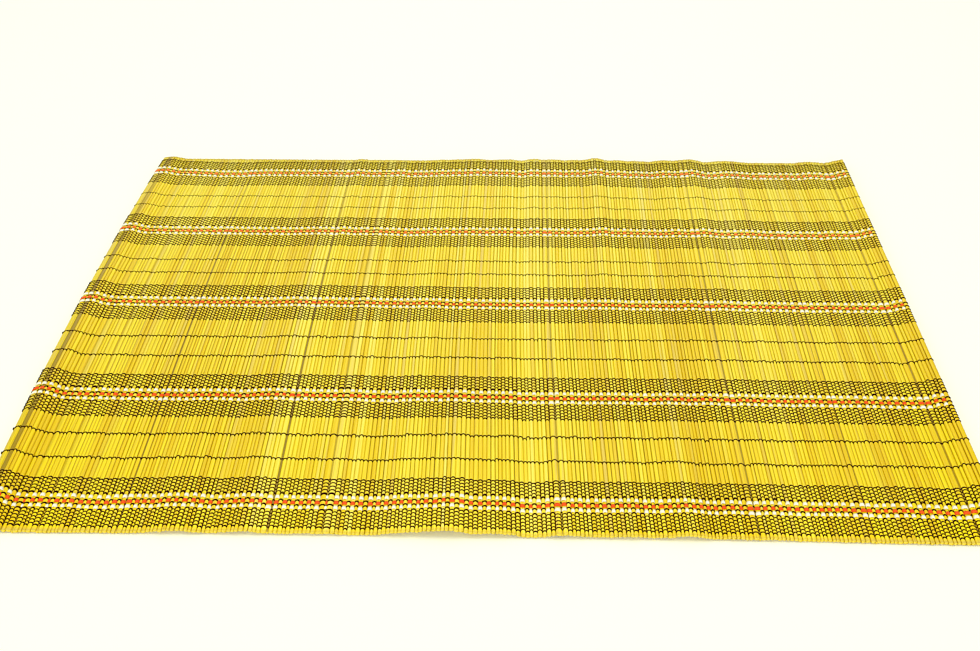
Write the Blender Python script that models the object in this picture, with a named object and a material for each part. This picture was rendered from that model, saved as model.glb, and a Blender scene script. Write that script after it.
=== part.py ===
"""Bamboo place mat, laid out flat.

The mat is a row of thin bamboo splints that run from front to back and are woven together by
threads that run from side to side. It is modelled as one solid sheet with a rib for every splint
on both faces, lying as the real mat lies: flat on the table, with low ripples where the weave is tight
and both short ends raised a little.

Frame: X along the row of splints, Y along the splints (front is -Y), Z up, metres. The origin is
on the table under the middle of the mat.
"""

import random

import bpy

# Driving sizes
MAT_WIDTH = 0.430
SPLINT_LENGTH = 0.354
SPLINT_COUNT = 246
MAT_THICKNESS = 0.0020
GROOVE_DEPTH = 0.00045

# How uneven the splints are: widths as a share of the mean, ends and tops in metres
SEED = 246
NARROWEST = 0.80
WIDEST = 1.22
END_UNEVENNESS = 0.0007
TOP_UNEVENNESS = 0.00022
GROOVE_INSET = 0.0003
FLAT_SHARE = 0.52

# The splints bow in plan towards the left end. They lie furthest out at BOW_Y
BOW_Y = -0.020
BOW_BACK = 0.0052
BOW_FRONT = 0.0030

# Ripples that run along the splints, from left to right: place in X, half width, and height at the
# front, at BOW_Y and at the back. The first and the last raise the two short ends
RIPPLE_COLUMNS = ("x", "half_width", "front", "middle", "back")
RIPPLES = (
    (-0.209, 0.010, 0.0034, 0.0026, 0.0014),
    (-0.128, 0.016, 0.0011, 0.0000, 0.0000),
    (-0.100, 0.016, 0.0011, 0.0008, 0.0000),
    (-0.086, 0.006, 0.0004, 0.0006, 0.0006),
    (-0.070, 0.016, 0.0007, 0.0006, 0.0002),
    (-0.033, 0.014, 0.0016, 0.0005, 0.0006),
    (-0.015, 0.018, 0.0030, 0.0000, 0.0013),
    (0.006, 0.013, 0.0017, 0.0001, 0.0012),
    (0.022, 0.008, 0.0000, 0.0002, 0.0016),
    (0.034, 0.013, 0.0012, 0.0000, 0.0014),
    (0.048, 0.009, 0.0006, 0.0001, 0.0012),
    (0.061, 0.011, 0.0010, 0.0002, 0.0025),
    (0.074, 0.008, 0.0007, 0.0000, 0.0012),
    (0.085, 0.012, 0.0015, 0.0000, 0.0007),
    (0.104, 0.012, 0.0004, 0.0003, 0.0013),
    (0.119, 0.012, 0.0003, 0.0002, 0.0021),
    (0.142, 0.015, 0.0000, 0.0000, 0.0012),
    (0.194, 0.012, 0.0000, 0.0000, 0.0010),
    (0.217, 0.016, 0.0024, 0.0027, 0.0029),
)

# Finish
BAMBOO_COLOUR = (0.80, 0.66, 0.09, 1.0)
BAMBOO_ROUGHNESS = 0.45

FRONT, MIDDLE, BACK = "front", "middle", "back"
STATION_Y = {FRONT: -SPLINT_LENGTH / 2, MIDDLE: BOW_Y, BACK: SPLINT_LENGTH / 2}


def clear_scene():
    """Remove whatever the file holds."""
    for item in list(bpy.data.objects):
        bpy.data.objects.remove(item, do_unlink=True)


def rows(columns, table):
    """The rows of a table, each as a dictionary of its named columns."""
    return [dict(zip(columns, row)) for row in table]


def splint_edges(dice):
    """X of the line between each splint and the next, over the whole width of the mat."""
    shares = [dice.uniform(NARROWEST, WIDEST) for _ in range(SPLINT_COUNT)]
    scale = MAT_WIDTH / sum(shares)
    edges = [-MAT_WIDTH / 2]
    for share in shares:
        edges.append(edges[-1] + share * scale)
    edges[-1] = MAT_WIDTH / 2
    return edges


def end_insets(dice):
    """How far each splint stops short of the longest one, which reaches the full length."""
    insets = [dice.uniform(0, END_UNEVENNESS) for _ in range(SPLINT_COUNT)]
    shortest_inset = min(insets)
    return [inset - shortest_inset for inset in insets]


def lift(x, station):
    """Height of the mat's underside above the table."""
    height = 0.0
    for ripple in rows(RIPPLE_COLUMNS, RIPPLES):
        away = abs(x - ripple["x"]) / ripple["half_width"]
        if away < 1:
            height += ripple[station] * (1 - away ** 2) ** 2
    return height


def bow(x, station):
    """Sideways shift of a splint's end in plan, which fades out towards the right."""
    inward = {FRONT: BOW_FRONT, MIDDLE: 0.0, BACK: BOW_BACK}[station]
    fade = max(0.0, -2 * x / MAT_WIDTH)
    return inward * fade ** 2


def make_columns():
    """Points across the mat, from left to right: one for each groove and two for each splint.

    A column holds its X, the heights of its top and underside above the lie of the mat, and how
    far its front and back ends are drawn in.
    """
    dice = random.Random(SEED)
    edges = splint_edges(dice)
    front_insets = end_insets(dice)
    back_insets = end_insets(dice)
    tops = [MAT_THICKNESS - dice.uniform(0, TOP_UNEVENNESS) for _ in range(SPLINT_COUNT)]

    columns = []
    for index in range(SPLINT_COUNT + 1):
        beside = [i for i in (index - 1, index) if 0 <= i < SPLINT_COUNT]
        columns.append({
            "x": edges[index],
            "top": MAT_THICKNESS - GROOVE_DEPTH - TOP_UNEVENNESS / 2,
            "bottom": GROOVE_DEPTH,
            FRONT: max(front_insets[i] for i in beside) + GROOVE_INSET,
            BACK: max(back_insets[i] for i in beside) + GROOVE_INSET,
        })
        if index == SPLINT_COUNT:
            break
        centre = (edges[index] + edges[index + 1]) / 2
        half_flat = FLAT_SHARE * (edges[index + 1] - edges[index]) / 2
        for side in (-1, 1):
            columns.append({
                "x": centre + side * half_flat,
                "top": tops[index],
                "bottom": 0.0,
                FRONT: front_insets[index],
                BACK: back_insets[index],
            })
    return columns


def place(column, station, level):
    """The point of a column at one station along the splints, on its top or its bottom."""
    x = column["x"]
    y = STATION_Y[station]
    if station == FRONT:
        y += column[FRONT]
    elif station == BACK:
        y -= column[BACK]
    return (x + bow(x, station), y, lift(x, station) + column[level])


def make_mat():
    """The woven mat: one closed sheet, ribbed on both faces."""
    columns = make_columns()
    stations = (FRONT, MIDDLE, BACK)
    count = len(columns)

    points = []
    for station in stations:
        for level in ("top", "bottom"):
            points += [place(column, station, level) for column in columns]

    def row(station_index, level_index):
        return (station_index * 2 + level_index) * count

    faces = []
    for near in range(len(stations) - 1):
        top_near, top_far = row(near, 0), row(near + 1, 0)
        low_near, low_far = row(near, 1), row(near + 1, 1)
        for i in range(count - 1):
            faces.append((top_near + i, top_near + i + 1, top_far + i + 1, top_far + i))
            faces.append((low_near + i + 1, low_near + i, low_far + i, low_far + i + 1))
        faces.append((low_near, top_near, top_far, low_far))
        end = count - 1
        faces.append((top_near + end, low_near + end, low_far + end, top_far + end))
    last = len(stations) - 1
    for i in range(count - 1):
        faces.append((row(0, 1) + i, row(0, 1) + i + 1, row(0, 0) + i + 1, row(0, 0) + i))
        faces.append((row(last, 1) + i + 1, row(last, 1) + i, row(last, 0) + i, row(last, 0) + i + 1))

    mesh = bpy.data.meshes.new("woven_mat")
    mesh.from_pydata(points, [], faces)
    mesh.validate()
    mesh.update()
    return mesh


def bamboo_material():
    material = bpy.data.materials.new("bamboo")
    material.use_nodes = True
    shader = material.node_tree.nodes["Principled BSDF"]
    shader.inputs["Base Color"].default_value = BAMBOO_COLOUR
    shader.inputs["Roughness"].default_value = BAMBOO_ROUGHNESS
    shader.inputs["Metallic"].default_value = 0.0
    material.diffuse_color = BAMBOO_COLOUR
    return material


def main():
    clear_scene()
    mat = bpy.data.objects.new("woven_mat", make_mat())
    mat.data.materials.append(bamboo_material())
    bpy.context.scene.collection.objects.link(mat)


main()
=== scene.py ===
"""Bamboo place mat: the looks.

Every splint, thread and cord of the weave is a tube along its own path, made with numpy from a few
sizes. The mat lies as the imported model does: flat, with low ripples and its short ends raised.
Lengths are metres, +Z up, and the splints run along Y.
"""

import math
import random

import bpy
import numpy as np
from mathutils import Matrix, Vector


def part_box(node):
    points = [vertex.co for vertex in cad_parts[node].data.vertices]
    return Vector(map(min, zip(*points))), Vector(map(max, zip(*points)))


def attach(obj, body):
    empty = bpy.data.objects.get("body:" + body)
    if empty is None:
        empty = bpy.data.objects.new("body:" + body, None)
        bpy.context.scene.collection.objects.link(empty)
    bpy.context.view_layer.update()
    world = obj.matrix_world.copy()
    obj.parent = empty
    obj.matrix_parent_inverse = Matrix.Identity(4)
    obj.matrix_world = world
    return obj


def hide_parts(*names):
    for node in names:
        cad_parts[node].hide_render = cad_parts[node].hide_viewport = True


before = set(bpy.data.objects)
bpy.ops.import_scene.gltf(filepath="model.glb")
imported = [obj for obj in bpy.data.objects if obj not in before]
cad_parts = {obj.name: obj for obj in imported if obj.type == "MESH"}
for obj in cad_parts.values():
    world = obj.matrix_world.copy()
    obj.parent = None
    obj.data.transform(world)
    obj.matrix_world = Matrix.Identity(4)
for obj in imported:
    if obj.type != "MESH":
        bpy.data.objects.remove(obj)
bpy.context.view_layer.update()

LOW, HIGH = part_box("woven_mat")
MAT_WIDTH = HIGH[0] - LOW[0]
SPLINT_LENGTH = HIGH[1] - LOW[1]
MM = 0.001

# Splints, with the solid's count, seed and widths. Their ends are rounded over END_ROUNDING, to
# END_SIZE of the section
SPLINT_COUNT = 246
SEED = 246
NARROWEST = 0.80
WIDEST = 1.22
SPLINT_HALF_HEIGHT = 0.60 * MM
SPLINT_MIDDLE = 1.00 * MM
SPLINT_OVERLAP = 0.04 * MM
SPLINT_SIDES = 10
SPLINT_SECTIONS = 14
END_ROUNDING = 0.10 * MM
END_SIZE = 0.92

# How uneven the splints are, each as its lowest and highest: the share of the half height, how square
# the section is, the slope of the top, and the sideways sway and its waves over the length. Then the
# most that a splint's end is drawn in, that it rises or drops, and the share that its width changes
# from end to end. At the back edge the rise and the slope are only BACK_UNEVENNESS of that
HALF_HEIGHT_SHARES = (0.90, 1.08)
SQUARENESSES = (1.85, 3.2)
TILTS = (-0.17, 0.17)
SWAYS = (0.01 * MM, 0.05 * MM)
SWAY_TURNS = (0.8, 2.2)
END_UNEVENNESS = 0.32 * MM
SPLINT_RISE = 0.24 * MM
TAPER = 0.03
BACK_UNEVENNESS = 0.30

# How much more golden the splints at the short ends are
EDGE_TONE = 0.15

# The widths of the first three splints: the first is wide and flat, and the second is a sliver. Then
# the share of the others that lie flush with the one on their left, so that the two look like one
FIRST_WIDTHS = (3.00 * MM, 0.50 * MM, 2.20 * MM)
FLUSH_SHARE = 0.16
FLUSH_SQUARENESS = 3.6

# Brown splints: splint, how brown it is, its width as a share of what it would be, and how far it lies
# below the others. Their brown is partly their own colour and partly painted shade on the sunken ones. The
# two beside it fill its place, and reach over it by a share of its drop
REACH_SHARE = 0.6
BROWN_AND_SHADE_COLUMNS = ("splint", "brown_and_shade", "width", "drop")
BROWN_AND_SHADED_SPLINTS = (
    (2, 0.78, 1.00, 0.0),
    (10, 0.45, 0.55, 0.34 * MM),
    (16, 0.40, 0.70, 0.30 * MM),
    (35, 0.92, 0.55, 0.36 * MM),
    (71, 0.92, 0.62, 0.32 * MM),
    (84, 0.60, 0.50, 0.32 * MM),
    (139, 0.65, 0.50, 0.34 * MM),
    (187, 0.80, 0.50, 0.36 * MM),
    (215, 0.80, 0.50, 0.38 * MM),
    (239, 0.80, 0.50, 0.38 * MM),
)

# The lie of the mat, as in the solid: how the splints bow in plan, and the ripples
BOW_Y = -20 * MM
BOW_BACK = 5.2 * MM
BOW_FRONT = 3.0 * MM
RIPPLE_COLUMNS = ("x", "half_width", "front", "middle", "back")
RIPPLES = (
    (-0.209, 0.010, 0.0034, 0.0026, 0.0014),
    (-0.128, 0.016, 0.0011, 0.0000, 0.0000),
    (-0.100, 0.016, 0.0011, 0.0008, 0.0000),
    (-0.086, 0.006, 0.0004, 0.0006, 0.0006),
    (-0.070, 0.016, 0.0007, 0.0006, 0.0002),
    (-0.033, 0.014, 0.0016, 0.0005, 0.0006),
    (-0.015, 0.018, 0.0030, 0.0000, 0.0013),
    (0.006, 0.013, 0.0017, 0.0001, 0.0012),
    (0.022, 0.008, 0.0000, 0.0002, 0.0016),
    (0.034, 0.013, 0.0012, 0.0000, 0.0014),
    (0.048, 0.009, 0.0006, 0.0001, 0.0012),
    (0.061, 0.011, 0.0010, 0.0002, 0.0025),
    (0.074, 0.008, 0.0007, 0.0000, 0.0012),
    (0.085, 0.012, 0.0015, 0.0000, 0.0007),
    (0.104, 0.012, 0.0004, 0.0003, 0.0013),
    (0.119, 0.012, 0.0003, 0.0002, 0.0021),
    (0.142, 0.015, 0.0000, 0.0000, 0.0012),
    (0.194, 0.012, 0.0000, 0.0000, 0.0010),
    (0.217, 0.016, 0.0024, 0.0027, 0.0029),
)

# Where the splints stand aside in plan between the short ends, which keep their places: the middle
# and half width in X, and the shift at each Y of LEAN_Y
LEAN_Y = (-0.177, -0.118, -0.038, 0.030, 0.120, 0.177)
LEAN_COLUMNS = ("x", "half_width", "shifts")
LEANS = (
    (-0.02, 0.170, (0.0037, 0.0023, 0.0006, 0.0, 0.0003, 0.0006)),
    (0.11, 0.100, (0.0, 0.0, 0.0, 0.0003, 0.0012, 0.0020)),
    (0.165, 0.055, (-0.0013, -0.0013, -0.0005, 0.0, 0.0, 0.0)),
)

# Bands of the weave, from front to back: Y of the red cord, how far the rows are stretched behind and
# before it, and the scale of the threads
BAND_COLUMNS = ("red_y", "behind", "before", "scale")
BANDS = (
    (-0.1583, 1.05, 1.01, 1.00),
    (-0.0803, 1.12, 1.06, 1.08),
    (0.0037, 1.14, 1.06, 1.00),
    (0.0818, 1.09, 1.05, 0.95),
    (0.1569, 1.05, 1.03, 0.92),
)

# Single lines between the bands, from front to back: Y, and the scale of the threads
LINE_COLUMNS = ("y", "scale")
LINES = (
    (-0.1285, 1.28),
    (-0.1109, 1.32),
    (-0.0469, 1.22),
    (-0.0294, 1.22),
    (0.0344, 1.00),
    (0.0487, 0.95),
    (0.1114, 0.72),
    (0.1255, 0.74),
)

# Distance between rows, and from a single line's middle to each of its two threads. Then how uneven
# the rows are: what a band's rows share at a splint, what a line's two threads share, and what is a
# thread's own, in place and in the scale of its width
ROW_PITCH = 1.08 * MM
LINE_PAIR = 0.06 * MM
SPLINT_JITTER = 0.12 * MM
LINE_JITTER = 0.28 * MM
ARC_JITTER = 0.05 * MM
WIDTH_SCALES = (0.95, 1.05)

# The slow waves in plan that the rows of a band, or the threads of a line, share: their number,
# lengths, greatest height, and the least share of it
WAVES = 4
WAVE_LENGTHS = (0.03, 0.20)
WAVE_HEIGHT = 0.12 * MM
LEAST_WAVE = 0.3

# Seeds of the yarns' unevenness: for the bands, the step from one to the next and what each kind of
# yarn adds, and for the single lines, the seed of their unevenness and that of the first one's waves
BAND_SEED_STEP = 10
YARN_SEEDS = {"thread": 6, "white": 5, "red": 3}
LINE_SEED = SEED + 7
LINE_WAVES_SEED = SEED + 50

# Places where the weave drifts along the splints: the middle and reach in Y, the middle and half
# width in X, and the drift. Then how far the splints' front ends stand forward near the short ends
DRIFT_COLUMNS = ("y", "reach", "x", "half_width", "drift")
DRIFTS = (
    (-0.176, 0.016, -0.190, 0.040, 0.0004),
    (-0.080, 0.120, -0.217, 0.010, 0.0014),
    (-0.158, 0.045, 0.197, 0.012, -0.0010),
    (-0.158, 0.045, -0.165, 0.014, -0.0008),
    (0.160, 0.045, -0.168, 0.026, -0.0018),
    (0.160, 0.045, -0.060, 0.006, 0.0011),
    (0.160, 0.045, -0.006, 0.010, 0.0009),
)
SLIP_COLUMNS = ("x", "half_width", "forward")
END_SLIPS = (
    (-0.215, 0.120, 0.0009),
    (0.215, 0.110, 0.0012),
)

# Rows of one band, from back to front: yarn, its scale, splints that the first row passes over,
# rows, distance of the first row behind the red cord, and between rows, in row pitches
EVEN, ODD = 0, 1
ROW_COLUMNS = ("yarn", "scale", "over", "rows", "first", "pitch")
BAND_ROWS = (
    ("thread", 1.2, EVEN, 2, 13.85, 0.55),
    ("thread", 1.0, EVEN, 8, 12.35, 0.99),
    ("thread", 1.05, ODD, 1, 4.85, 0),
    ("white", 1.0, EVEN, 1, 3.12, 0),
    ("thread", 1.45, ODD, 1, 1.25, 0),
    ("red", 1.0, EVEN, 1, 0, 0),
    ("thread", 1.40, ODD, 1, -1.50, 0),
    ("white", 1.0, EVEN, 1, -3.05, 0),
    ("thread", 1.4, ODD, 1, -4.50, 0),
    ("thread", 1.0, EVEN, 9, -5.70, 1.02),
    ("thread", 1.25, ODD, 1, -14.70, 0),
)

# Yarns: width and thickness on top of a splint, their shares beside it, the share of the thickness
# that stands proud of the splint, sides, how square the section is, how far it bows back on top of a
# splint, and the path's points over and under a splint: each has its place across the splint, from
# -1 to 1, and its height, 1 on the splint's top. Beyond BESIDE it lies beside the splint
BESIDE = 0.6
THREAD_OVER = ((-1.0, 1), (-0.80, 1), (-0.36, 1), (0.36, 1), (0.80, 1), (1.0, 1))
THREAD_UNDER = ((0.0, -1),)
WHITE_OVER = ((-0.90, -0.4), (-0.64, 1), (-0.40, 1), (0.40, 1), (0.64, 1), (0.90, -0.4))
RED_OVER = ((-0.96, -0.4), (-0.72, 1), (-0.44, 1), (0.44, 1), (0.72, 1), (0.96, -0.4))
CORD_UNDER = ((-0.5, -1), (0.5, -1))
YARN_COLUMNS = (
    "width", "thickness", "side_width", "side_thickness", "proud", "sides", "squareness", "arc",
    "over", "under",
)
YARNS = {
    "thread": (1.12 * MM, 0.34 * MM, 1.25, 1.40, 0.55, 3, 2.0, 0.90 * MM, THREAD_OVER, THREAD_UNDER),
    "line": (0.86 * MM, 0.34 * MM, 1.30, 1.50, 0.60, 3, 2.0, 1.35 * MM, THREAD_OVER, THREAD_UNDER),
    "white": (1.95 * MM, 0.72 * MM, 0.95, 0.70, 1.0, 6, 3.2, 0.0, WHITE_OVER, CORD_UNDER),
    "red": (2.10 * MM, 0.58 * MM, 0.95, 0.70, 1.0, 6, 3.2, 0.0, RED_OVER, CORD_UNDER),
}

# The least that a yarn clears the table by, and how far a ring of three sides is turned, in sides, so
# that a corner is on top. A ring of six has a flat side there
TABLE_GAP = 0.02 * MM
THREE_SIDED_START = 0.75

# The map of a piece on a square. Of the square's width: the margin at each end of a strip, and the
# middle and half width of the caps. Of a strip's height: its margins, and the half height of the caps
STRIP_END_MARGIN = 0.02
CAP_MIDDLE = 0.008
CAP_HALF_WIDTH = 0.007
STRIP_SIDE_MARGIN = 0.08
CAP_HALF_HEIGHT = 0.4

# How many lengths each kind of tube is cut into for the map, and the sharpest edge of a splint that
# is still shaded smooth
SPLINT_FOLDS = 1
THREAD_FOLDS = 6
CORD_FOLDS = 8
SHARP_ANGLE = math.radians(60)

# Camera, worked out from the photograph's perspective: 980 x 651 pixels. Its pitch is down from level
PHOTO_WIDTH = 980
FOCAL_PIXELS = 1372
CAMERA_PLACE = (0.0136, -0.6053, 0.3739)
CAMERA_PITCH = 0.5637
CAMERA_YAW = 0.0238
CAMERA_ROLL = -0.0028
SENSOR_WIDTH = 36.0
NEAREST_SEEN = 0.01

# How much the picture is sharpened, and the gamma that this is done in
SHARPENING = 0.045
GAMMA = 2.2


def rows_of(columns, table):
    """The rows of a table, each as a dictionary of its named columns."""
    return [dict(zip(columns, row)) for row in table]


def bump(distance, half_width):
    """A smooth hump, 1 at its middle and 0 from its half width on."""
    away = np.clip(np.abs(distance) / half_width, 0, 1)
    return (1 - away ** 2) ** 2


def rounded(turn, squareness):
    """Across and up on a rounded section whose half sizes are 1: squareness 2 is an ellipse."""
    power = 2 / squareness
    across = np.sign(np.cos(turn)) * np.abs(np.cos(turn)) ** power
    up = np.sign(np.sin(turn)) * np.abs(np.sin(turn)) ** power
    return across, up


# The lie of the mat

def along(front, middle, back, y):
    """A height that changes evenly from the front to BOW_Y, and from there to the back."""
    return np.interp(y, (-SPLINT_LENGTH / 2, BOW_Y, SPLINT_LENGTH / 2), (front, middle, back))


def lift(x, y):
    """Height of the mat's underside above the table."""
    x, y = np.broadcast_arrays(x, y)
    height = np.zeros(x.shape)
    for ripple in rows_of(RIPPLE_COLUMNS, RIPPLES):
        rise = bump(x - ripple["x"], ripple["half_width"])
        height += rise * along(ripple["front"], ripple["middle"], ripple["back"], y)
    return height


def bow(x, y):
    """Sideways shift of the splints in plan, which fades out towards the right."""
    reach = np.where(y > BOW_Y, SPLINT_LENGTH / 2 - BOW_Y, SPLINT_LENGTH / 2 + BOW_Y)
    inward = np.where(y > BOW_Y, BOW_BACK, BOW_FRONT)
    fade = np.clip(-2 * x / MAT_WIDTH, 0, None)
    return inward * ((y - BOW_Y) / reach) ** 2 * fade ** 2


def lean(x, y):
    """Sideways shift of the splints in plan between the short ends."""
    total = np.zeros(np.broadcast(x, y).shape)
    for place in rows_of(LEAN_COLUMNS, LEANS):
        total += bump(x - place["x"], place["half_width"]) * np.interp(y, LEAN_Y, place["shifts"])
    return total


def drift(x, y_row):
    """How far the weave has slipped along the splints."""
    total = np.zeros_like(x)
    for place in rows_of(DRIFT_COLUMNS, DRIFTS):
        near = bump(y_row - place["y"], place["reach"])
        total += near * place["drift"] * bump(x - place["x"], place["half_width"])
    return total


# Splints

def make_splints():
    """Sizes of every splint, each as a column of SPLINT_COUNT numbers."""
    dice = random.Random(SEED)

    def each(low, high):
        return np.array([dice.uniform(low, high) for _ in range(SPLINT_COUNT)])

    shares = each(NARROWEST, WIDEST)
    widths = shares * MAT_WIDTH / shares.sum()
    widths[:3] = np.array(FIRST_WIDTHS) * widths[:3].sum() / sum(FIRST_WIDTHS)
    edges = -MAT_WIDTH / 2 + np.concatenate(([0], np.cumsum(widths)))
    insets = [each(0, END_UNEVENNESS) for _ in range(2)]
    front, back = [inset - inset.min() for inset in insets]
    columns = {
        "x": (edges[:-1] + edges[1:]) / 2,
        "half_width": (widths + SPLINT_OVERLAP) / 2,
        "half_height": SPLINT_HALF_HEIGHT * each(*HALF_HEIGHT_SHARES),
        "rise": SPLINT_RISE * (each(-1, 1) + each(-1, 1)) / 2,
        "front": -SPLINT_LENGTH / 2 + front,
        "back": SPLINT_LENGTH / 2 - back,
        "taper": each(-TAPER, TAPER),
        "squareness": each(*SQUARENESSES),
        "tilt": each(*TILTS),
        "sway": each(*SWAYS),
        "sway_turns": each(*SWAY_TURNS),
        "sway_start": each(0, 2 * math.pi),
        "tone": each(0, 1),
        "fleck": each(0, 1),
        "brown_and_shade": np.zeros(SPLINT_COUNT),
    }
    columns["tone"] += EDGE_TONE * (2 * columns["x"] / MAT_WIDTH) ** 2
    for slip in rows_of(SLIP_COLUMNS, END_SLIPS):
        columns["front"] -= slip["forward"] * bump(columns["x"] - slip["x"], slip["half_width"])
    for splint in range(1, SPLINT_COUNT):
        if splint == 1 or dice.random() < FLUSH_SHARE:
            pair = [splint - 1, splint]
            columns["squareness"][pair] = FLUSH_SQUARENESS
            columns["tilt"][pair] = 0
            for name in ("rise", "tone", "half_height"):
                columns[name][splint] = columns[name][splint - 1]
    # Brown splints, whose brown is partly painted shade on the sunken ones, lie lower, and their neighbours
    # widen over them
    for row in rows_of(BROWN_AND_SHADE_COLUMNS, BROWN_AND_SHADED_SPLINTS):
        splint = row["splint"]
        columns["brown_and_shade"][splint] = row["brown_and_shade"]
        columns["rise"][splint] = -row["drop"]
        lost = (1 - row["width"]) * columns["half_width"][splint]
        columns["half_width"][splint] -= lost
        gained = (lost + REACH_SHARE * row["drop"]) / 2
        for way in (-1, 1):
            columns["half_width"][splint + way] += gained
            columns["x"][splint + way] -= way * gained
    return {name: column[:, None] for name, column in columns.items()}


def section(splints, y):
    """Middle, half sizes and slope of each splint at y, which has a row for each splint."""
    along_mat = y / SPLINT_LENGTH
    sway = splints["sway"] * np.sin(2 * math.pi * splints["sway_turns"] * along_mat + splints["sway_start"])
    place = splints["x"] + lean(splints["x"], y)
    x = place + bow(splints["x"], y) + sway
    uneven = np.interp(y, (-SPLINT_LENGTH / 2, SPLINT_LENGTH / 2), (1, BACK_UNEVENNESS))
    z = SPLINT_MIDDLE + splints["rise"] * uneven + lift(place, y)
    step = 0.5 * MM
    spread = (lean(splints["x"] + step, y) - lean(splints["x"] - step, y)) / (2 * step)
    half_width = splints["half_width"] * (1 + spread + splints["taper"] * along_mat)
    half_height = splints["half_height"] * np.ones_like(y)
    slope = (lift(place + step, y) - lift(place - step, y)) / (2 * step)
    return x, z, half_width, half_height, slope + splints["tilt"] * uneven


def splint_rings(splints):
    """Points of every splint: (splint, section, side, xyz)."""
    share = np.linspace(0, 1, SPLINT_SECTIONS)[None, :]
    y = splints["front"] + END_ROUNDING + (splints["back"] - splints["front"] - 2 * END_ROUNDING) * share
    y = np.concatenate((splints["front"], y, splints["back"]), axis=1)
    x, z, half_width, half_height, slope = section(splints, y)
    size = np.ones(y.shape[1])
    size[0] = size[-1] = END_SIZE

    across, up = rounded(splint_turn(), splints["squareness"][:, :, None])
    across = half_width[:, :, None] * size[None, :, None] * across
    up = half_height[:, :, None] * size[None, :, None] * up
    return np.stack((
        x[:, :, None] + across,
        np.broadcast_to(y[:, :, None], across.shape),
        z[:, :, None] + up + across * slope[:, :, None],
    ), axis=-1)


def splint_turn():
    """Angles of the points round a splint."""
    return (np.arange(SPLINT_SIDES) + 0.5) * 2 * math.pi / SPLINT_SIDES


# Yarns

def wander(x, seed):
    """Slow waves in plan that the rows of a band, or the threads of a line, share."""
    dice = random.Random(seed)
    total = np.zeros_like(x)
    for _ in range(WAVES):
        length = dice.uniform(*WAVE_LENGTHS)
        height = WAVE_HEIGHT * dice.uniform(LEAST_WAVE, 1)
        start = dice.uniform(0, 2 * math.pi)
        total += height * np.sin(2 * math.pi * x / length + start)
    return total


def path_plan(over, points_over, points_under):
    """Splint, place across it and level of each point of a yarn's path."""
    owner, side, level = [], [], []
    for splint in range(SPLINT_COUNT):
        for place, height in points_over if splint % 2 == over else points_under:
            owner.append(splint)
            side.append(place)
            level.append(height)
    return np.array(owner), np.array(side), np.array(level)


def yarn_rings(splints, y_row, yarn, over, scale, dice):
    """Points of one yarn's tube: (point, side, xyz)."""
    size = dict(zip(YARN_COLUMNS, YARNS[yarn]))
    spread = scale * dice.uniform(*WIDTH_SCALES)
    y = y_row + dice.normal(0, ARC_JITTER, (SPLINT_COUNT, 1))
    x, z, half_width, half_height, slope = section(splints, y)
    owner, side, level = path_plan(over, size["over"], size["under"])
    beside = np.abs(side) > BESIDE
    wide = size["width"] * spread * np.where(beside, size["side_width"], 1)
    thick = size["thickness"] * scale * np.where(beside, size["side_thickness"], 1)
    squareness = splints["squareness"][owner, 0]
    outline = np.clip(1 - np.abs(side) ** squareness, 0, 1) ** (1 / squareness)
    bulge = (half_height[owner, 0] + thick * (size["proud"] - 0.5)) * outline
    px = x[owner, 0] + side * half_width[owner, 0]
    floor = lift(splints["x"] + lean(splints["x"], y), y)[owner, 0] + thick / 2 + TABLE_GAP
    pz = np.maximum(z[owner, 0] + slope[owner, 0] * (px - x[owner, 0]) + level * bulge, floor)
    py = y[owner, 0] + size["arc"] * np.where(level < 0, -0.5, 0.5 - side ** 2)
    path = np.stack((px, py, pz), axis=-1)

    def end_point(splint, way):
        return (x[splint, 0] + way * (half_width[splint, 0] + thick[0] / 2), y[splint, 0], z[splint, 0])

    path = np.concatenate(([end_point(0, -1)], path, [end_point(SPLINT_COUNT - 1, 1)]))
    wide, thick = [np.pad(column, 1, "edge")[:, None] for column in (wide, thick)]
    tangent = np.gradient(path, axis=0)
    normal = np.stack((-tangent[:, 2], np.zeros(len(path)), tangent[:, 0]), axis=-1)
    normal /= np.linalg.norm(normal, axis=1, keepdims=True)
    first = THREE_SIDED_START if size["sides"] == 3 else 0
    turn = (np.arange(size["sides"]) + first) * 2 * math.pi / size["sides"]
    across, up = rounded(turn, size["squareness"])
    ring = path[:, None, :] + normal[:, None, :] * (thick / 2 * up)[:, :, None]
    ring[:, :, 1] += wide / 2 * across
    return ring


def band_rings(splints, yarn):
    """Rings of every yarn of one kind, as a list with a list for each band."""
    bands = []
    for number, band in enumerate(rows_of(BAND_COLUMNS, BANDS)):
        shared_dice = np.random.default_rng(SEED + number)
        shared = wander(splints["x"], SEED + number)
        shared += shared_dice.normal(0, SPLINT_JITTER, (SPLINT_COUNT, 1))
        dice = np.random.default_rng(SEED + BAND_SEED_STEP * number + YARN_SEEDS[yarn])
        tubes = []
        for row in rows_of(ROW_COLUMNS, BAND_ROWS):
            if row["yarn"] != yarn:
                continue
            for step in range(row["rows"]):
                distance = (row["first"] - step * row["pitch"]) * ROW_PITCH
                y = band["red_y"] + distance * band["behind" if distance > 0 else "before"]
                over = (row["over"] + step) % 2
                y_row = y + shared + drift(splints["x"], y)
                scale = row["scale"] * (band["scale"] if yarn == "thread" else 1)
                tubes.append(yarn_rings(splints, y_row, yarn, over, scale, dice))
        bands.append(tubes)
    return bands


def line_rings(splints):
    """Rings of the single lines: each is a pair of threads that pass over in turn."""
    dice = np.random.default_rng(LINE_SEED)
    tubes = []
    for number, line in enumerate(rows_of(LINE_COLUMNS, LINES)):
        shared = wander(splints["x"], LINE_WAVES_SEED + number)
        shared += dice.normal(0, LINE_JITTER, (SPLINT_COUNT, 1))
        shared += drift(splints["x"], line["y"])
        for over in (EVEN, ODD):
            y_row = line["y"] + shared + (LINE_PAIR if over == EVEN else -LINE_PAIR)
            tubes.append(yarn_rings(splints, y_row, "line", over, line["scale"], dice))
    return tubes


# Meshes

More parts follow.
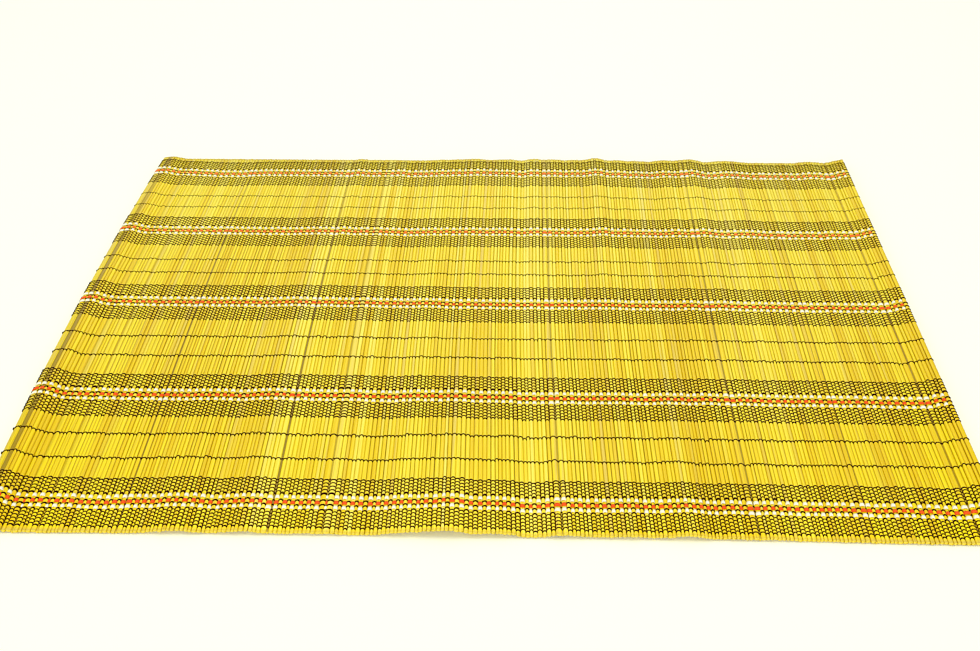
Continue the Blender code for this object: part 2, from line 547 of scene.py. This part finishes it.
def tube_faces(tubes):
    """Quads along the tubes and a cap at each end of each, as point numbers."""
    sides = tubes[0].shape[1]
    quads, caps = [], []
    start = 0
    for tube in tubes:
        ring = start + np.arange(len(tube) - 1)[:, None] * sides
        corner = ring + np.arange(sides)[None, :]
        beside = ring + (np.arange(sides)[None, :] + 1) % sides
        quads.append(np.stack((corner, corner + sides, beside + sides, beside), axis=-1).reshape(-1, 4))
        caps.append(start + np.arange(sides))
        caps.append(start + (len(tube) - 1) * sides + np.arange(sides)[::-1])
        start += tube.shape[0] * sides
    return np.concatenate(quads), np.array(caps)


def tube_map(tubes, folds):
    """A place on a square picture for each corner of the quads and caps.

    Each tube is cut into folds lengths, and each length is a strip that runs along the picture.
    """
    sides = tubes[0].shape[1]
    strips = len(tubes) * folds
    quads, caps = [], []
    for number, tube in enumerate(tubes):
        step = np.linalg.norm(np.diff(tube[:, 0], axis=0), axis=1)
        where = np.concatenate(([0], np.cumsum(step)))
        where = where / where[-1] * folds
        fold = np.minimum((where[:-1] + where[1:]) / 2, folds - 1e-6).astype(int)
        near, far = [
            STRIP_END_MARGIN + (1 - 2 * STRIP_END_MARGIN) * np.clip(end - fold, 0, 1)
            for end in (where[:-1], where[1:])
        ]
        strip = number * folds + fold[:, None]
        low, high = [
            (strip + STRIP_SIDE_MARGIN + (1 - 2 * STRIP_SIDE_MARGIN) * side / sides) / strips
            for side in (np.arange(sides), np.arange(sides) + 1)
        ]
        near, far = [np.broadcast_to(end[:, None], low.shape) for end in (near, far)]
        pairs = ((near, low), (far, low), (far, high), (near, high))
        corners = [np.stack(pair, axis=-1) for pair in pairs]
        quads.append(np.stack(corners, axis=2).reshape(-1, 2))
        turn = np.arange(sides) * 2 * math.pi / sides
        first = number * folds
        for middle, owner in ((CAP_MIDDLE, first), (1 - CAP_MIDDLE, first + folds - 1)):
            across = middle + CAP_HALF_WIDTH * np.cos(turn)
            up = (owner + 0.5 + CAP_HALF_HEIGHT * np.sin(turn)) / strips
            caps.append(np.stack((across, up), axis=-1))
    return np.concatenate(quads + caps)


def tube_mesh(name, tubes, values, folds):
    """One mesh of closed tubes. tubes is a list of (point, side, xyz) arrays of like side counts.

    values maps an attribute's name to its numbers, one for each tube or one for each side.
    """
    sides = tubes[0].shape[1]
    points = np.concatenate([tube.reshape(-1, 3) for tube in tubes])
    quads, caps = tube_faces(tubes)
    mesh = bpy.data.meshes.new(name)
    mesh.vertices.add(len(points))
    mesh.vertices.foreach_set("co", points.astype(np.float32).ravel())
    corners = np.concatenate((quads.ravel(), caps.ravel())).astype(np.int32)
    mesh.loops.add(len(corners))
    mesh.loops.foreach_set("vertex_index", corners)
    totals = np.concatenate((np.full(len(quads), 4), np.full(len(caps), sides)))
    starts = np.concatenate(([0], np.cumsum(totals)[:-1])).astype(np.int32)
    mesh.polygons.add(len(totals))
    mesh.polygons.foreach_set("loop_start", starts)
    mesh.update(calc_edges=True)
    layer = mesh.uv_layers.new(name="OFBake")
    layer.data.foreach_set("uv", tube_map(tubes, folds).astype(np.float32).ravel())
    mesh.validate()
    mesh.polygons.foreach_set("use_smooth", np.ones(len(totals), dtype=bool))
    for label, column in values.items():
        if len(column) == len(tubes):
            spread = np.concatenate([np.full(tube.shape[0] * sides, v) for tube, v in zip(tubes, column)])
        else:
            spread = np.concatenate([np.tile(column, tube.shape[0]) for tube in tubes])
        mesh.attributes.new(label, "FLOAT", "POINT").data.foreach_set("value", spread.astype(np.float32))
    return mesh


def add_piece(name, tubes, values, folds, material):
    """Link a piece made of tubes, in its material, on the mat's body."""
    mesh = tube_mesh(name, tubes, values, folds)
    mesh.materials.append(material)
    piece = bpy.data.objects.new(name, mesh)
    bpy.context.scene.collection.objects.link(piece)
    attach(piece, "root")
    return piece


# Materials

class Nodes:
    """A short way to write a node tree: each call adds nodes and returns the output that counts."""

    def __init__(self, name):
        self.material = bpy.data.materials.new(name)
        self.material.use_nodes = True
        self.tree = self.material.node_tree
        self.shader = self.tree.nodes["Principled BSDF"]

    def link(self, value, socket):
        """Another node's output, or a plain value, into a socket."""
        if isinstance(value, bpy.types.NodeSocket):
            self.tree.links.new(value, socket)
        else:
            socket.default_value = value

    def add(self, kind, output=0, settings=None, **inputs):
        """A node of any kind, with its settings and inputs by name."""
        node = self.tree.nodes.new(kind)
        for key, value in (settings or {}).items():
            setattr(node, key, value)
        for key, value in inputs.items():
            self.link(value, node.inputs[key.replace("_", " ")])
        return node.outputs[output]

    def attribute(self, name):
        return self.add("ShaderNodeAttribute", output="Fac", settings={"attribute_name": name})

    def maths(self, operation, *values, clamp=False):
        node = self.tree.nodes.new("ShaderNodeMath")
        node.operation = operation
        node.use_clamp = clamp
        for index, value in enumerate(values):
            self.link(value, node.inputs[index])
        return node.outputs[0]

    def mix(self, factor, first, second, blend="MIX"):
        node = self.tree.nodes.new("ShaderNodeMix")
        node.data_type = "RGBA"
        node.blend_type = blend
        self.link(factor, node.inputs[0])
        for index, colour in ((6, first), (7, second)):
            self.link((*colour, 1) if isinstance(colour, tuple) else colour, node.inputs[index])
        return node.outputs[2]

    def shaded(self, share, colour, shade):
        """The colour, multiplied by shade as far as share goes."""
        return self.mix(share, colour, self.mix(1.0, colour, shade, "MULTIPLY"))

    def weaker(self, value, back_sheen, loss):
        """The value, which loses this share of itself where the painted sheen at the back is full."""
        return self.maths("MULTIPLY", value, self.maths("MULTIPLY_ADD", back_sheen, -loss, 1.0))

    def ramp(self, value, stops, smooth=True):
        node = self.tree.nodes.new("ShaderNodeValToRGB")
        if smooth:
            node.color_ramp.interpolation = "EASE"
        elements = node.color_ramp.elements
        while len(elements) < len(stops):
            elements.new(0.5)
        for element, (place, colour) in zip(elements, stops):
            element.position = place
            element.color = (*colour, 1)
        self.link(value, node.inputs[0])
        return node.outputs[0]

    def grey_ramp(self, value, stops):
        return self.ramp(value, [(place, (shade,) * 3) for place, shade in stops])

    def vector_maths(self, operation, first, second):
        node = self.tree.nodes.new("ShaderNodeVectorMath")
        node.operation = operation
        self.link(first, node.inputs[0])
        self.link(second, node.inputs[1])
        return node.outputs[0]

    def drawn_out(self, scales, offset=None):
        """The place on the mat times a scale for each axis, moved along Y by offset."""
        place = self.vector_maths("MULTIPLY", self.add("ShaderNodeTexCoord", output="Object"), scales)
        if offset is None:
            return place
        shift = self.maths("MULTIPLY", offset, NOISE_SHIFT)
        return self.vector_maths("ADD", place, self.add("ShaderNodeCombineXYZ", Y=shift))

    def place_on(self, axis, scale=1):
        """The place on the mat along one axis, times a scale."""
        return self.add("ShaderNodeSeparateXYZ", output=axis, Vector=self.drawn_out((scale,) * 3))

    def share_of_length(self):
        """0 at the mat's front edge and 1 at its back edge."""
        return self.maths("MULTIPLY_ADD", self.place_on("Y"), 1 / SPLINT_LENGTH, 0.5)

    def noise(self, scales, offset=None, detail=2.0):
        place = self.drawn_out(scales, offset)
        return self.add("ShaderNodeTexNoise", Vector=place, Scale=1.0, Detail=detail)

    def finish(self, colour, roughness, height=None, strength=0.0, distance=0.0):
        """Colour and roughness into the shader, and a bump of this height where one is given."""
        self.link(colour, self.shader.inputs["Base Color"])
        self.link(roughness, self.shader.inputs["Roughness"])
        if height is not None:
            bump_node = self.add("ShaderNodeBump", Height=height, Strength=strength, Distance=distance)
            self.link(bump_node, self.shader.inputs["Normal"])
        return self.material


# Colours of the dyed bamboo: the dye from pale to deep, tan streaks, brown splints, partly painted shade on
# the sunken ones, the splints' tips, darkened as painted shade, and their cut faces
LEMON = (0.85, 0.725, 0.100)
YELLOW = (0.83, 0.67, 0.032)
GOLDEN = (0.75, 0.54, 0.007)
TAN = (0.63, 0.50, 0.16)
BROWN_AND_SHADE = (0.25, 0.165, 0.02)
TIP_SHADE = (0.57, 0.42, 0.065)
END_GRAIN = (0.62, 0.49, 0.07)

# What a colour is multiplied by towards the short ends, at the front corners, and between the fibres. Then
# the painted shade on a splint's flanks, which leaves its top paler as a painted highlight, and the painted
# shade in the common, deep and woven seams between the splints
OUTER = (0.94, 0.92, 0.40)
FRONT_CORNER = (0.99, 0.96, 0.03)
FIBRE = (0.80, 0.72, 0.50)
FLANK_SHADE = (0.98, 0.96, 0.45)
SEAM_SHADE = (0.80, 0.70, 0.12)
DEEP_SEAM_SHADE = (0.60, 0.54, 0.32)
WOVEN_SEAM_SHADE = (0.22, 0.12, 0.05)
WHITE = (1.0, 1.0, 1.0)

# Noises: how many of their cells lie in a metre along X, Y and Z, the fibres' detail, and how many
# cells at most a splint's fleck moves it along Y
PATCH_SCALES = (16, 7, 16)
STREAK_SCALES = (640, 9, 640)
FIBRE_SCALES = (3400, 16, 3400)
FIBRE_DETAIL = 4.0
NOISE_SHIFT = 37.0

# How golden the dye is: where it starts, what the patches, a splint's tone, streaks and the painted sheen
# at the back add, and the colours that this gives
GOLD_START = 0.09
PATCH_WEIGHT = 0.36
TONE_WEIGHT = 0.30
STREAK_WEIGHT = 0.30
BACK_SHEEN_WEIGHT = -0.08
DYE_STOPS = ((0.36, LEMON), (0.52, YELLOW), (0.74, GOLDEN))

# Over the mat's length, from the front: where a painted sheen pales the dye, and where the front corners
# are deeper. Then how much stronger that is than the change at the short ends
BACK_SHEEN_STOPS = ((0.42, 0.0), (1.0, 1.0))
FRONT_STOPS = ((0.15, 1.0), (0.42, 0.0))
CORNER_STRENGTH = 1.2

# Which splints have tan streaks, by their fleck, which streaks are tan, and the share of their colour,
# partly painted shade, that brown splints lose at the back under the painted sheen there
TAN_FLECKS = ((0.50, 0.0), (1.0, 0.50))
TAN_STREAKS = ((0.44, 0.0), (0.58, 0.9))
BROWN_AND_SHADE_LOSS = 0.45

# The tips, darkened as painted shade: how far the shade reaches, how fast it darkens towards the end, as a
# share in a metre, and how strongly at most. Then how far a face looks along the splints where it is a cut
# face
TIP_SHADE_LENGTH = 2.0 * MM
TIP_SHADE_STEEPNESS = 450.0
TIP_SHADE_STRENGTH = 0.9
CUT_FACES = ((0.5, 0.0), (0.9, 1.0))

# Fibres: where the grooves between them are, how strong their colour is, the bump's strength and
# depth, and the roughness at its least and its range. Then the bamboo's shine and the tint of it
FIBRE_STOPS = ((0.30, FIBRE), (0.52, WHITE))
FIBRE_STRENGTH = 0.8
FIBRE_BUMP = 0.3
FIBRE_DEPTH = 0.15 * MM
LEAST_ROUGHNESS = 0.32
ROUGHNESS_RANGE = 0.25
BAMBOO_SHINE = 0.25
BAMBOO_SHINE_TINT = (1.0, 0.92, 0.28, 1)

# How much painted shade a splint takes from its middle, 0, to its side, 1: on its flanks, and in each kind
# of seam between the splints, with the share that is lost at the back under the painted sheen there
FLANK_SHADE_STOPS = ((0.25, 0.0), (0.90, 1.0))
SEAM_SHADE_COLUMNS = ("kind", "shade", "stops", "loss")
SEAM_SHADES = (
    ("common", SEAM_SHADE, ((0.62, 0.0), (0.95, 1.0)), 0.95),
    ("deep", DEEP_SEAM_SHADE, ((0.55, 0.0), (0.90, 1.0)), 0.50),
    ("woven", WOVEN_SEAM_SHADE, ((0.52, 0.0), (0.92, 1.0)), 0.60),
)

# Painted shade in the common seams: its strength at the mat's middle, and what the short ends add. In the
# deep seams: which splints have it, by their fleck. In the woven seams: a reach from each red cord, and
# where in it the shade lies
SEAM_SHADE_START = 0.35
SEAM_SHADE_OUTER = 1.1
DEEP_SHADE_FLECKS = ((0.12, 1.0), (0.18, 0.0))
WOVEN_SHADE_REACH = 20 * MM
WOVEN_SHADE_STOPS = ((0.23, 0.0), (0.27, 1.0), (0.78, 1.0), (0.81, 0.0))

# Yarns: the dark and pale colours of their plies, roughness, shine, and the paler colour that a painted
# sheen gives them at the back, or None. Then the scales of the plies and of the fuzz on them, how far the
# plies wander, the details of both, the fuzz's share, where the colours are dark and pale, and the bump
FINISH_COLUMNS = ("name", "dark", "pale", "roughness", "shine", "back_sheen")
YARN_FINISHES = (
    ("dark_thread", (0.014, 0.0036, 0.0006), (0.055, 0.016, 0.004), 0.9, 0.02, None),
    ("white_cord", (0.69, 0.68, 0.48), (0.85, 0.84, 0.63), 0.9, 0.2, None),
    ("red_cord", (0.62, 0.060, 0.006), (0.92, 0.125, 0.016), 0.9, 0.1, (0.84, 0.21, 0.045)),
)
YARN_BACK_SHEEN_STOPS = ((0.3, 0.0), (1.0, 1.0))
PLY_SCALE = 900.0
FUZZ_SCALE = 2500.0
PLY_WANDER = 2.0
PLY_DETAIL = 2.0
FUZZ_DETAIL = 3.0
FUZZ_SHARE = 0.5
DARK_SHADE = 0.25
PALE_SHADE = 0.75
YARN_BUMP = 0.5
YARN_DEPTH = 0.1 * MM


def bamboo_material():
    """Yellow-dyed split bamboo with long fibres and cut ends, painted shade at its tips and between the
    splints, and a painted sheen that makes it paler towards the back.
    """
    n = Nodes("dyed_bamboo")
    fleck = n.attribute("fleck")
    outer = n.maths("POWER", n.maths("ABSOLUTE", n.place_on("X", 2 / MAT_WIDTH)), 2.0)
    # Painted sheen: 0 over the front, rising to 1 at the back, where the dye and the painted seam shade
    # grow paler
    back_sheen = n.grey_ramp(n.share_of_length(), BACK_SHEEN_STOPS)
    fibre = n.noise(FIBRE_SCALES, fleck, FIBRE_DETAIL)
    colour = dye_and_painted_light(n, fleck, back_sheen, outer)
    colour = tip_shade_and_cut_faces(n, colour)
    colour = n.mix(FIBRE_STRENGTH, colour, n.ramp(fibre, FIBRE_STOPS), "MULTIPLY")
    colour = painted_splint_shade(n, colour, fleck, back_sheen, outer)
    n.shader.inputs["Specular IOR Level"].default_value = BAMBOO_SHINE
    n.shader.inputs["Specular Tint"].default_value = BAMBOO_SHINE_TINT
    roughness = n.maths("MULTIPLY_ADD", fibre, ROUGHNESS_RANGE, LEAST_ROUGHNESS)
    return n.finish(colour, roughness, fibre, FIBRE_BUMP, FIBRE_DEPTH)


def dye_and_painted_light(n, fleck, back_sheen, outer):
    """Golden patches, a tone for each splint, tan streaks, brown splints that are partly painted shade,
    deeper front corners, and a painted sheen that pales the dye towards the back.
    """
    streak = n.noise(STREAK_SCALES, fleck)
    gold = n.maths("MULTIPLY_ADD", n.noise(PATCH_SCALES), PATCH_WEIGHT, GOLD_START)
    tone = n.attribute("tone")
    # The painted sheen at the back takes some gold away, so that the dye looks paler there
    for value, weight in ((tone, TONE_WEIGHT), (streak, STREAK_WEIGHT), (back_sheen, BACK_SHEEN_WEIGHT)):
        gold = n.maths("MULTIPLY_ADD", value, weight, gold)
    colour = n.shaded(outer, n.ramp(gold, DYE_STOPS), OUTER)
    tan = n.maths("MULTIPLY", n.grey_ramp(fleck, TAN_FLECKS), n.grey_ramp(streak, TAN_STREAKS))
    colour = n.mix(tan, colour, TAN)
    # Brown splints: partly their own colour, partly painted shade on the sunken ones, and less of it under
    # the painted sheen at the back
    colour = n.mix(n.weaker(n.attribute("brown_and_shade"), back_sheen, BROWN_AND_SHADE_LOSS), colour, BROWN_AND_SHADE)
    corner = n.maths("MULTIPLY", outer, n.grey_ramp(n.share_of_length(), FRONT_STOPS))
    return n.shaded(n.maths("MULTIPLY", corner, CORNER_STRENGTH, clamp=True), colour, FRONT_CORNER)


def tip_shade_and_cut_faces(n, colour):
    """The splints' tips darkened by painted shade, and the grain on their cut faces."""
    from_middle = n.maths("ABSOLUTE", n.place_on("Y"))
    start = SPLINT_LENGTH / 2 - TIP_SHADE_LENGTH
    # Painted shade: the last stretch of each splint darkens towards its end
    tip_shade = n.maths("MULTIPLY_ADD", from_middle, TIP_SHADE_STEEPNESS, -TIP_SHADE_STEEPNESS * start, clamp=True)
    colour = n.mix(n.maths("MULTIPLY", tip_shade, TIP_SHADE_STRENGTH), colour, TIP_SHADE)
    normal = n.add("ShaderNodeTexCoord", output="Normal")
    facing = n.maths("ABSOLUTE", n.add("ShaderNodeSeparateXYZ", output="Y", Vector=normal))
    return n.mix(n.grey_ramp(facing, CUT_FACES), colour, END_GRAIN)


def painted_splint_shade(n, colour, fleck, back_sheen, outer):
    """Painted shade on the splints' flanks and between them, which leaves their tops paler as a painted
    highlight.
    """
    side = n.attribute("side")
    # Painted shade on the flanks takes blue away, so that each top looks paler, as a painted highlight
    colour = n.shaded(n.grey_ramp(side, FLANK_SHADE_STOPS), colour, FLANK_SHADE)
    strength = {
        "common": n.maths("MULTIPLY_ADD", outer, SEAM_SHADE_OUTER, SEAM_SHADE_START, clamp=True),
        "deep": n.grey_ramp(fleck, DEEP_SHADE_FLECKS),
        "woven": woven_shade_share(n),
    }
    # Painted shade in the seams, where neighbouring splints would shade each other
    for seam in rows_of(SEAM_SHADE_COLUMNS, SEAM_SHADES):
        share = n.weaker(n.grey_ramp(side, seam["stops"]), back_sheen, seam["loss"])
        share = n.maths("MULTIPLY", share, strength[seam["kind"]])
        colour = n.shaded(share, colour, seam["shade"])
    return colour


def woven_shade_share(n):
    """Where the woven seams take their painted shade: 1 where a band's dark threads are woven in, from
    their distance to the red cord, else 0.
    """
    y = n.place_on("Y")
    nearest = WOVEN_SHADE_REACH
    for band in rows_of(BAND_COLUMNS, BANDS):
        away = n.maths("ABSOLUTE", n.maths("SUBTRACT", y, band["red_y"]))
        nearest = n.maths("MINIMUM", away, nearest)
    return n.grey_ramp(n.maths("DIVIDE", nearest, WOVEN_SHADE_REACH), WOVEN_SHADE_STOPS)


def yarn_material(name, dark, pale, roughness, shine, back_sheen):
    """Twisted yarn with fine slanting plies, and with a paler colour at the back from a painted sheen, if
    it has one.
    """
    n = Nodes(name)
    place = n.add("ShaderNodeTexCoord", output="Object")
    ply = n.add("ShaderNodeTexWave", settings={"bands_direction": "DIAGONAL"}, output="Fac",
                Vector=place, Scale=PLY_SCALE, Distortion=PLY_WANDER, Detail=PLY_DETAIL)
    fuzz = n.add("ShaderNodeTexNoise", Vector=place, Scale=FUZZ_SCALE, Detail=FUZZ_DETAIL)
    ply_part = n.maths("MULTIPLY", ply, 1 - FUZZ_SHARE)
    fuzz_part = n.maths("MULTIPLY", fuzz, FUZZ_SHARE)
    shade = n.maths("ADD", ply_part, fuzz_part)
    colour = n.ramp(shade, ((DARK_SHADE, dark), (PALE_SHADE, pale)))
    # Painted sheen: towards the back the colour pales to the given one
    if back_sheen is not None:
        colour = n.mix(n.grey_ramp(n.share_of_length(), YARN_BACK_SHEEN_STOPS), colour, back_sheen)
    n.shader.inputs["Specular IOR Level"].default_value = shine
    return n.finish(colour, roughness, shade, YARN_BUMP, YARN_DEPTH)


# Room

# The floor, whose colour goes from a painted warm tint of light to plain over the metre behind the Y where
# it is warmest
FLOOR_SIZE = 12
FLOOR_DROP = 0.05 * MM
PAINTED_WARMTH_Y = -0.35
PAINTED_WARM_FLOOR = (0.93, 0.93, 0.68)
PLAIN_FLOOR = (0.93, 0.93, 0.84)
FLOOR_ROUGHNESS = 0.85

# The room's even light, and the softboxes
ROOM_COLOUR = (1.0, 1.0, 0.985, 1)
ROOM_STRENGTH = 0.735
LIGHT_COLUMNS = ("name", "place", "aim", "size", "power", "shine_only")
LIGHTS = (
    ("softbox_above", (-0.05, 0.05, 1.30), (0, 0, 0), 1.2, 7.0, False),
    ("softbox_behind", (0.03, 1.30, 0.80), (0, 0, 0), 0.9, 3.8, True),
    ("softbox_front", (0.0, -1.7, 0.45), (0, -0.1, 0), 1.6, 27.0, False),
)


def add_floor():
    """A wide pale table top, with a painted warm tint of light at the front."""
    bpy.ops.mesh.primitive_plane_add(size=FLOOR_SIZE, location=(0, 0, -FLOOR_DROP))
    floor = bpy.context.object
    floor.name = "floor"
    n = Nodes("floor")
    # Painted warm light at the front, fading to plain further back
    share = n.maths("SUBTRACT", n.place_on("Y"), PAINTED_WARMTH_Y)
    colour = n.ramp(share, ((0.0, PAINTED_WARM_FLOOR), (1.0, PLAIN_FLOOR)), smooth=False)
    floor.data.materials.append(n.finish(colour, FLOOR_ROUGHNESS))


def add_area(name, place, aim, size, power, shine_only):
    """A round softbox at a place, turned to its aim. With shine_only it gives highlights alone."""
    light = bpy.data.lights.new(name, "AREA")
    light.shape = "DISK"
    light.size = size
    light.energy = power
    lamp = bpy.data.objects.new(name, light)
    lamp.location = place
    lamp.rotation_euler = (Vector(aim) - Vector(place)).to_track_quat("-Z", "Y").to_euler()
    lamp.visible_diffuse = not shine_only
    bpy.context.scene.collection.objects.link(lamp)


def add_light():
    """A bright room all round, and the softboxes."""
    world = bpy.data.worlds.new("room")
    world.use_nodes = True
    background = world.node_tree.nodes["Background"]
    background.inputs["Color"].default_value = ROOM_COLOUR
    background.inputs["Strength"].default_value = ROOM_STRENGTH
    bpy.context.scene.world = world
    for light in rows_of(LIGHT_COLUMNS, LIGHTS):
        add_area(**light)


def add_camera():
    """The photograph's view."""
    lens = bpy.data.cameras.new("camera")
    lens.sensor_fit = "HORIZONTAL"
    lens.sensor_width = SENSOR_WIDTH
    lens.lens = SENSOR_WIDTH * FOCAL_PIXELS / PHOTO_WIDTH
    lens.clip_start = NEAREST_SEEN
    camera = bpy.data.objects.new("camera", lens)
    turn = Matrix.Rotation(CAMERA_YAW, 4, "Z") @ Matrix.Rotation(math.pi / 2 - CAMERA_PITCH, 4, "X")
    camera.matrix_world = Matrix.Translation(CAMERA_PLACE) @ turn @ Matrix.Rotation(CAMERA_ROLL, 4, "Z")
    bpy.context.scene.collection.objects.link(camera)
    bpy.context.scene.camera = camera


def set_view():
    """Plain colours, and the light sharpening that a camera gives."""
    scene = bpy.context.scene
    scene.view_settings.view_transform = "Standard"
    scene.view_settings.look = "None"
    scene.view_settings.exposure = 0.0
    scene.view_settings.gamma = 1.0
    scene.use_nodes = True
    tree = scene.node_tree
    tree.nodes.clear()
    picture = tree.nodes.new("CompositorNodeRLayers")
    encode = tree.nodes.new("CompositorNodeGamma")
    encode.inputs[1].default_value = 1 / GAMMA
    sharpen = tree.nodes.new("CompositorNodeFilter")
    sharpen.filter_type = "SHARPEN"
    sharpen.inputs[0].default_value = SHARPENING
    decode = tree.nodes.new("CompositorNodeGamma")
    decode.inputs[1].default_value = GAMMA
    result = tree.nodes.new("CompositorNodeComposite")
    tree.links.new(picture.outputs[0], encode.inputs[0])
    tree.links.new(encode.outputs[0], sharpen.inputs[1])
    tree.links.new(sharpen.outputs[0], decode.inputs[0])
    tree.links.new(decode.outputs[0], result.inputs[0])


def build_mat():
    """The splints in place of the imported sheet, and the yarns of the weave, all on one body."""
    splints = make_splints()
    values = {name: splints[name][:, 0] for name in ("tone", "fleck", "brown_and_shade")}
    values["side"] = np.abs(np.cos(splint_turn()))
    tubes = list(splint_rings(splints))
    body = add_piece("splints", tubes, values, SPLINT_FOLDS, bamboo_material())
    body.data.set_sharp_from_angle(angle=SHARP_ANGLE)
    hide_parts("woven_mat")

    looks = {row["name"]: yarn_material(**row) for row in rows_of(FINISH_COLUMNS, YARN_FINISHES)}

    def add_yarns(name, tubes, folds, slot):
        return add_piece(name, tubes, {}, folds, looks[slot])

    yarns = [
        add_yarns(f"band_threads_{number}", tubes, THREAD_FOLDS, "dark_thread")
        for number, tubes in enumerate(band_rings(splints, "thread"), start=1)
    ]
    yarns.append(add_yarns("line_threads", line_rings(splints), THREAD_FOLDS, "dark_thread"))
    for yarn in ("white", "red"):
        tubes = sum(band_rings(splints, yarn), [])
        yarns.append(add_yarns(f"{yarn}_cords", tubes, CORD_FOLDS, f"{yarn}_cord"))


add_floor()
add_light()
add_camera()
set_view()
build_mat()
